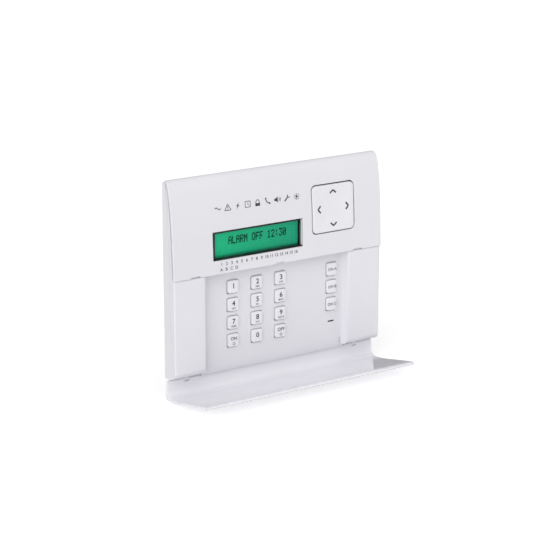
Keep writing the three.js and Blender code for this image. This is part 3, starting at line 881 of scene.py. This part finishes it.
def bezel():
    """The black frame: a flange behind the collar, a ring round the glass and a sill under the window."""
    gap = 0.6
    aperture = ((GLASS_LOW.x + GLASS_HIGH.x) / 2, (GLASS_LOW.z + GLASS_HIGH.z) / 2,
                GLASS_HIGH.x - GLASS_LOW.x + gap, GLASS_HIGH.z - GLASS_LOW.z + gap, 0.4)
    flange = ring_plate((DISPLAY_X, DISPLAY_Z, 71, 24, 1), aperture, 4.5, 5.9)
    ring = ring_plate((DISPLAY_X, DISPLAY_Z, DISPLAY_W - gap, SEAT_H - gap, 0.5), aperture, 5.8, 7.4)
    sill_half = DISPLAY_W / 2 - 0.5
    sill = block(DISPLAY_X - sill_half, DISPLAY_X + sill_half, 7.35, 11.2, 11.93, 12.33)
    piece = new_object("lcd_bezel_fine", flange)
    boolean(piece, ring, "UNION")
    boolean(piece, sill, "UNION")
    smoothed(piece, 30)
    return place(piece, "housing", "display_frame", "lcd_bezel")


def message_dots():
    """The message as flat rectangles, one for each dark dot. The dots run a little into each other."""
    start = MESSAGE_X - LETTER_PITCH * (len(MESSAGE) - 1) / 2
    w, h = DOT_PITCH_X * 0.72, DOT_PITCH_Z * 0.6
    dots = []
    for i, letter in enumerate(MESSAGE):
        for r, row in enumerate(GLYPHS.get(letter, "").split()):
            for c, dot in enumerate(row):
                if dot == "1":
                    x = start + i * LETTER_PITCH + (c - 2) * DOT_PITCH_X
                    z = MESSAGE_Z + (3 - r) * DOT_PITCH_Z
                    dots.append(flat([(x - w, z - h), (x + w, z - h), (x + w, z + h), (x - w, z + h)]))
    return merge(dots)


def display():
    """The display behind its clear window: message, glass, black frame and backlight."""
    glass_face = -GLASS_LOW.y - BASE
    message = printed("display_message", message_dots(), lambda height: glass_face, 0.05)
    place(message, "housing", "display_green", material=LCD_INK)
    refined("lcd_glass", 0.2, "display_green")
    bezel()
    refined("lcd_backlight", 0.2, "inner_plastic")
    refined("display_window", 0.15, "window_clear")


# ---------------------------------------------------------------- printed marks on the cover

def symbol_wave():
    return stroke([(-1.6 + 0.2 * i, 0.55 * math.sin(math.pi * i / 8)) for i in range(17)], 0.35)


def symbol_warning():
    return merge([stroke([(-1.7, -1.4), (1.7, -1.4), (0, 1.6)], 0.28, True),
                  stroke([(0, 0.65), (0, -0.3)], 0.3), stroke([(0, -0.65), (0, -0.95)], 0.3)])


def symbol_bolt():
    return merge([flat([(0.9, 1.7), (-0.9, -0.1), (-0.05, -0.1), (-0.9, -1.7), (0.95, 0.2), (0.1, 0.2)])])


def symbol_clock():
    return merge([stroke([(-1.4, -1.4), (1.4, -1.4), (1.4, 1.4), (-1.4, 1.4)], 0.26, True),
                  stroke([(0, 0.8), (0, 0), (0.6, -0.4)], 0.24)])


def symbol_padlock():
    arch = [(0.95 * math.cos(math.radians(a)), 0.3 + 1.1 * math.sin(math.radians(a)))
            for a in range(0, 181, 20)]
    return merge([stroke([(0.95, -0.4)] + arch + [(-0.95, -0.4)], 0.3),
                  flat([(-1.3, -1.6), (1.3, -1.6), (1.3, -0.2), (-1.3, -0.2)])])


def symbol_handset():
    return merge([stroke([(-1.0, 1.4), (-0.7, 0.2), (0.2, -0.8), (1.3, -1.2)], 0.42),
                  stroke([(-1.3, 1.4), (-0.5, 1.4)], 0.5), stroke([(1.3, -1.5), (1.3, -0.7)], 0.5)])


def symbol_speaker():
    return merge([flat([(-1.6, -0.6), (-0.8, -0.6), (0.3, -1.5), (0.3, 1.5), (-0.8, 0.6), (-1.6, 0.6)]),
                  stroke([(0.9, 0.7), (1.15, 0), (0.9, -0.7)], 0.28),
                  stroke([(1.5, 1.1), (1.85, 0), (1.5, -1.1)], 0.28)])


def symbol_wrench():
    return merge([stroke([(-1.4, -1.4), (0.5, 0.5)], 0.5),
                  stroke([(0.2, 1.2), (0.35, 0.45), (1.1, 0.2)], 0.4),
                  stroke([(0.2, 1.2), (0.5, 1.6)], 0.35),
                  stroke([(1.1, 0.2), (1.6, 0.5)], 0.35)])


def symbol_lamp():
    rays = [stroke([start, end], 0.28) for start, end in zip(circle(0.9, 8), circle(1.6, 8))]
    return merge(rays + [flat(circle(0.6, 14))])


def cover_marks():
    """Nine symbols above the display, and two rows of numbers and letters below it."""
    symbols = [symbol_wave, symbol_warning, symbol_bolt, symbol_clock, symbol_padlock, symbol_handset,
               symbol_speaker, symbol_wrench, symbol_lamp]
    icon_pitch, icon_scale = 7.18, 1.3
    marks = [moved(make(), ICONS_X + (i - 4) * icon_pitch, ICONS_Z, icon_scale)
             for i, make in enumerate(symbols)]
    icons = printed("cover_symbols", merge(marks), cover_depth)
    place(icons, "housing", "cover_plastic", material=INK_DARK)
    rows = [(-43.05, 9.0, [str(i + 1) for i in range(16)]), (-43.35, 5.6, list("ABCD"))]
    label_pitch = 3.62
    labels = [moved(text_mesh(label, 2.0, 0.07), first_x + i * label_pitch, z)
              for first_x, z, row in rows for i, label in enumerate(row)]
    numbering = printed("cover_labels", merge(labels), cover_depth)
    place(numbering, "housing", "cover_plastic", material=INK_GREY)


# ---------------------------------------------------------------- screws and inner pieces

def turned(x, z, head_end, towards, profile, steps=28):
    """A solid turned about a line through (x, z). profile holds (radius, distance from the head's end)."""
    bm = bmesh.new()
    rings = []
    for radius, height in profile:
        d = head_end + towards * height
        if radius == 0.0:
            rings.append([bm.verts.new(at(x, d, z))] * steps)
        else:
            rings.append([bm.verts.new(at(x + u, d, z + v)) for u, v in circle(radius, steps)])
    for a, b in zip(rings, rings[1:]):
        for i in range(steps):
            j = (i + 1) % steps
            corners = []
            for v in (a[i], a[j], b[j], b[i]):
                if v not in corners:
                    corners.append(v)
            bm.faces.new(corners)
    bmesh.ops.recalc_face_normals(bm, faces=bm.faces)
    return bm


def cross_screw(node, towards):
    """A pan head with a cross recess, on a plain shank. towards is 1 if the head faces the wall, or -1."""
    low, high = box_mm(node)
    x, z = (low.x + high.x) / 2, (low.z + high.z) / 2
    near, far = -high.y - BASE, -low.y - BASE
    head_end = near if towards > 0 else far
    head_r = (high.x - low.x) / 2
    shank_r, arm_r = head_r * 0.42, head_r * 0.55
    head_h, length = 1.3, far - near
    profile = [(0.0, 0.0), (head_r * 0.55, 0.0), (head_r * 0.85, 0.28), (head_r, 0.75), (head_r, head_h),
               (shank_r, head_h), (shank_r, length - 0.6), (0.0, length)]
    piece = new_object(node + "_fine", turned(x, z, head_end, towards, profile))
    for turn in (0, 90):
        section = [(-arm_r, -0.2, -0.3), (arm_r, -0.2, -0.3), (arm_r, -0.2, 0.3), (-arm_r, -0.2, 0.3)]
        arm = prism([Vector(p) * MM for p in section], Vector((0, 1.0, 0)) * MM)
        arm.transform(Matrix.Rotation(math.radians(turn + 45), 4, "Y"))
        if towards > 0:
            arm.transform(Matrix.Rotation(math.pi, 4, "Z"))
        arm.transform(Matrix.Translation(at(x, head_end, z)))
        boolean(piece, arm, "DIFFERENCE")
    shade_smooth(piece, 35)
    return place(piece, "housing", "screw_steel", node)


def inner_pieces():
    """The pieces inside the case and the rear cover: CAD shapes with softened edges, and the screws."""
    plain = {
        "lcd_board": ("circuit_board", 0.1), "icon_led_board": ("circuit_board", 0.1),
        "main_board": ("circuit_board", 0.1), "display_header": ("black_plastic", 0.2),
        "icon_light_guide": ("window_clear", 0.3), "nav_gimbal": ("inner_plastic", 0.3),
        "nav_switch": ("black_plastic", 0.3), "key_mat": ("mat_rubber", 0.25),
        "buzzer": ("black_plastic", 0.4), "processor": ("black_plastic", 0.2),
        "terminal_block": ("terminal_plastic", 0.2), "tamper_switch": ("black_plastic", 0.3),
        "tamper_plunger": ("inner_plastic", 0.3), "rear_cover": ("case_plastic", 0.18),
    }
    for node, (slot, width) in plain.items():
        refined(node, width, slot)
    for i in (1, 2, 3, 4):
        cross_screw(f"case_screw_{i}", 1)
        cross_screw(f"board_screw_{i}", -1)
        cross_screw(f"display_screw_{i}", 1)


# ---------------------------------------------------------------- studio and camera

def sun(name, towards, strength, spread):
    """A broad soft light from far away; towards points from the object to the light."""
    data = bpy.data.lights.new(name, "SUN")
    data.energy = strength
    data.angle = math.radians(spread)
    lamp = bpy.data.objects.new(name, data)
    bpy.context.scene.collection.objects.link(lamp)
    lamp.location = Vector(towards)
    lamp.rotation_euler = Vector(towards).to_track_quat("Z", "Y").to_euler()


def studio():
    """A pale floor just below the object, three broad lights, and surroundings that brighten upwards."""
    low_corner = CAD_BOX[0]
    size = 3000 * MM
    bm = bmesh.new()
    floor_z = low_corner[2] - 0.2 * MM
    corners = [(-size, -size), (size, -size), (size, size), (-size, size)]
    bm.faces.new([bm.verts.new((x, y, floor_z)) for x, y in corners])
    floor = new_object("studio_floor", bm)
    n = Nodes("studio_floor")
    n.set(Base_Color=n.mix(n.range(n.noise(3, 2), 0, 1), (0.79, 0.79, 0.79, 1), (0.81, 0.81, 0.81, 1)),
          Roughness=0.9, Specular_IOR_Level=0.1, Emission_Color=(1, 1, 1, 1), Emission_Strength=0.38)
    floor.data.materials.append(n.material)
    floor.visible_glossy = False
    sun("key_light", (-0.86, -0.51, 0.42), 1.62, 60)
    sun("fill_light", (0.58, -0.80, 0.28), 0.54, 80)
    sun("top_light", (0.0, -0.40, 1.0), 0.58, 60)
    world = bpy.data.worlds.new("studio")
    world.use_nodes = True
    tree = world.node_tree
    background = tree.nodes["Background"]
    direction = tree.nodes.new("ShaderNodeTexCoord").outputs["Generated"]
    height = tree.nodes.new("ShaderNodeSeparateXYZ")
    tree.links.new(direction, height.inputs["Vector"])
    rise = tree.nodes.new("ShaderNodeMapRange")
    rise.inputs["From Min"].default_value = -0.05
    rise.inputs["From Max"].default_value = 0.35
    rise.inputs["To Min"].default_value = 0.05
    rise.inputs["To Max"].default_value = 0.5
    tree.links.new(height.outputs["Z"], rise.inputs["Value"])
    background.inputs["Color"].default_value = (0.98, 0.985, 1.0, 1)
    tree.links.new(rise.outputs["Result"], background.inputs["Strength"])
    bpy.context.scene.world = world
    bpy.context.scene.view_settings.view_transform = "Standard"


def camera():
    """A long lens at the object's left front, a little above it."""
    azimuth, elevation, roll = math.radians(-32.33), math.radians(16.94), math.radians(0.09)
    distance = 1122.9 * MM
    back = Vector((math.sin(azimuth) * math.cos(elevation), -math.cos(azimuth) * math.cos(elevation),
                   math.sin(elevation)))
    right = Vector((math.cos(azimuth), math.sin(azimuth), 0))
    up = back.cross(right)
    x_axis = right * math.cos(roll) + up * math.sin(roll)
    y_axis = up * math.cos(roll) - right * math.sin(roll)
    data = bpy.data.cameras.new("camera")
    data.sensor_width = 36
    data.lens = 116.82
    view = bpy.data.objects.new("camera", data)
    bpy.context.scene.collection.objects.link(view)
    looked_at = Vector((-3.87, -27.0, -4.21)) * MM
    position = looked_at + back * distance
    rotation = Matrix((x_axis, y_axis, back)).transposed().to_4x4()
    view.matrix_world = Matrix.Translation(position) @ rotation
    data.clip_start = 0.01
    bpy.context.scene.camera = view


camera()
studio()
display_cover()
front_housing()
door()
for key_node in DIGIT_KEYS + FUNCTION_KEYS:
    key(key_node)
nav_pad()
display()
cover_marks()
inner_pieces()
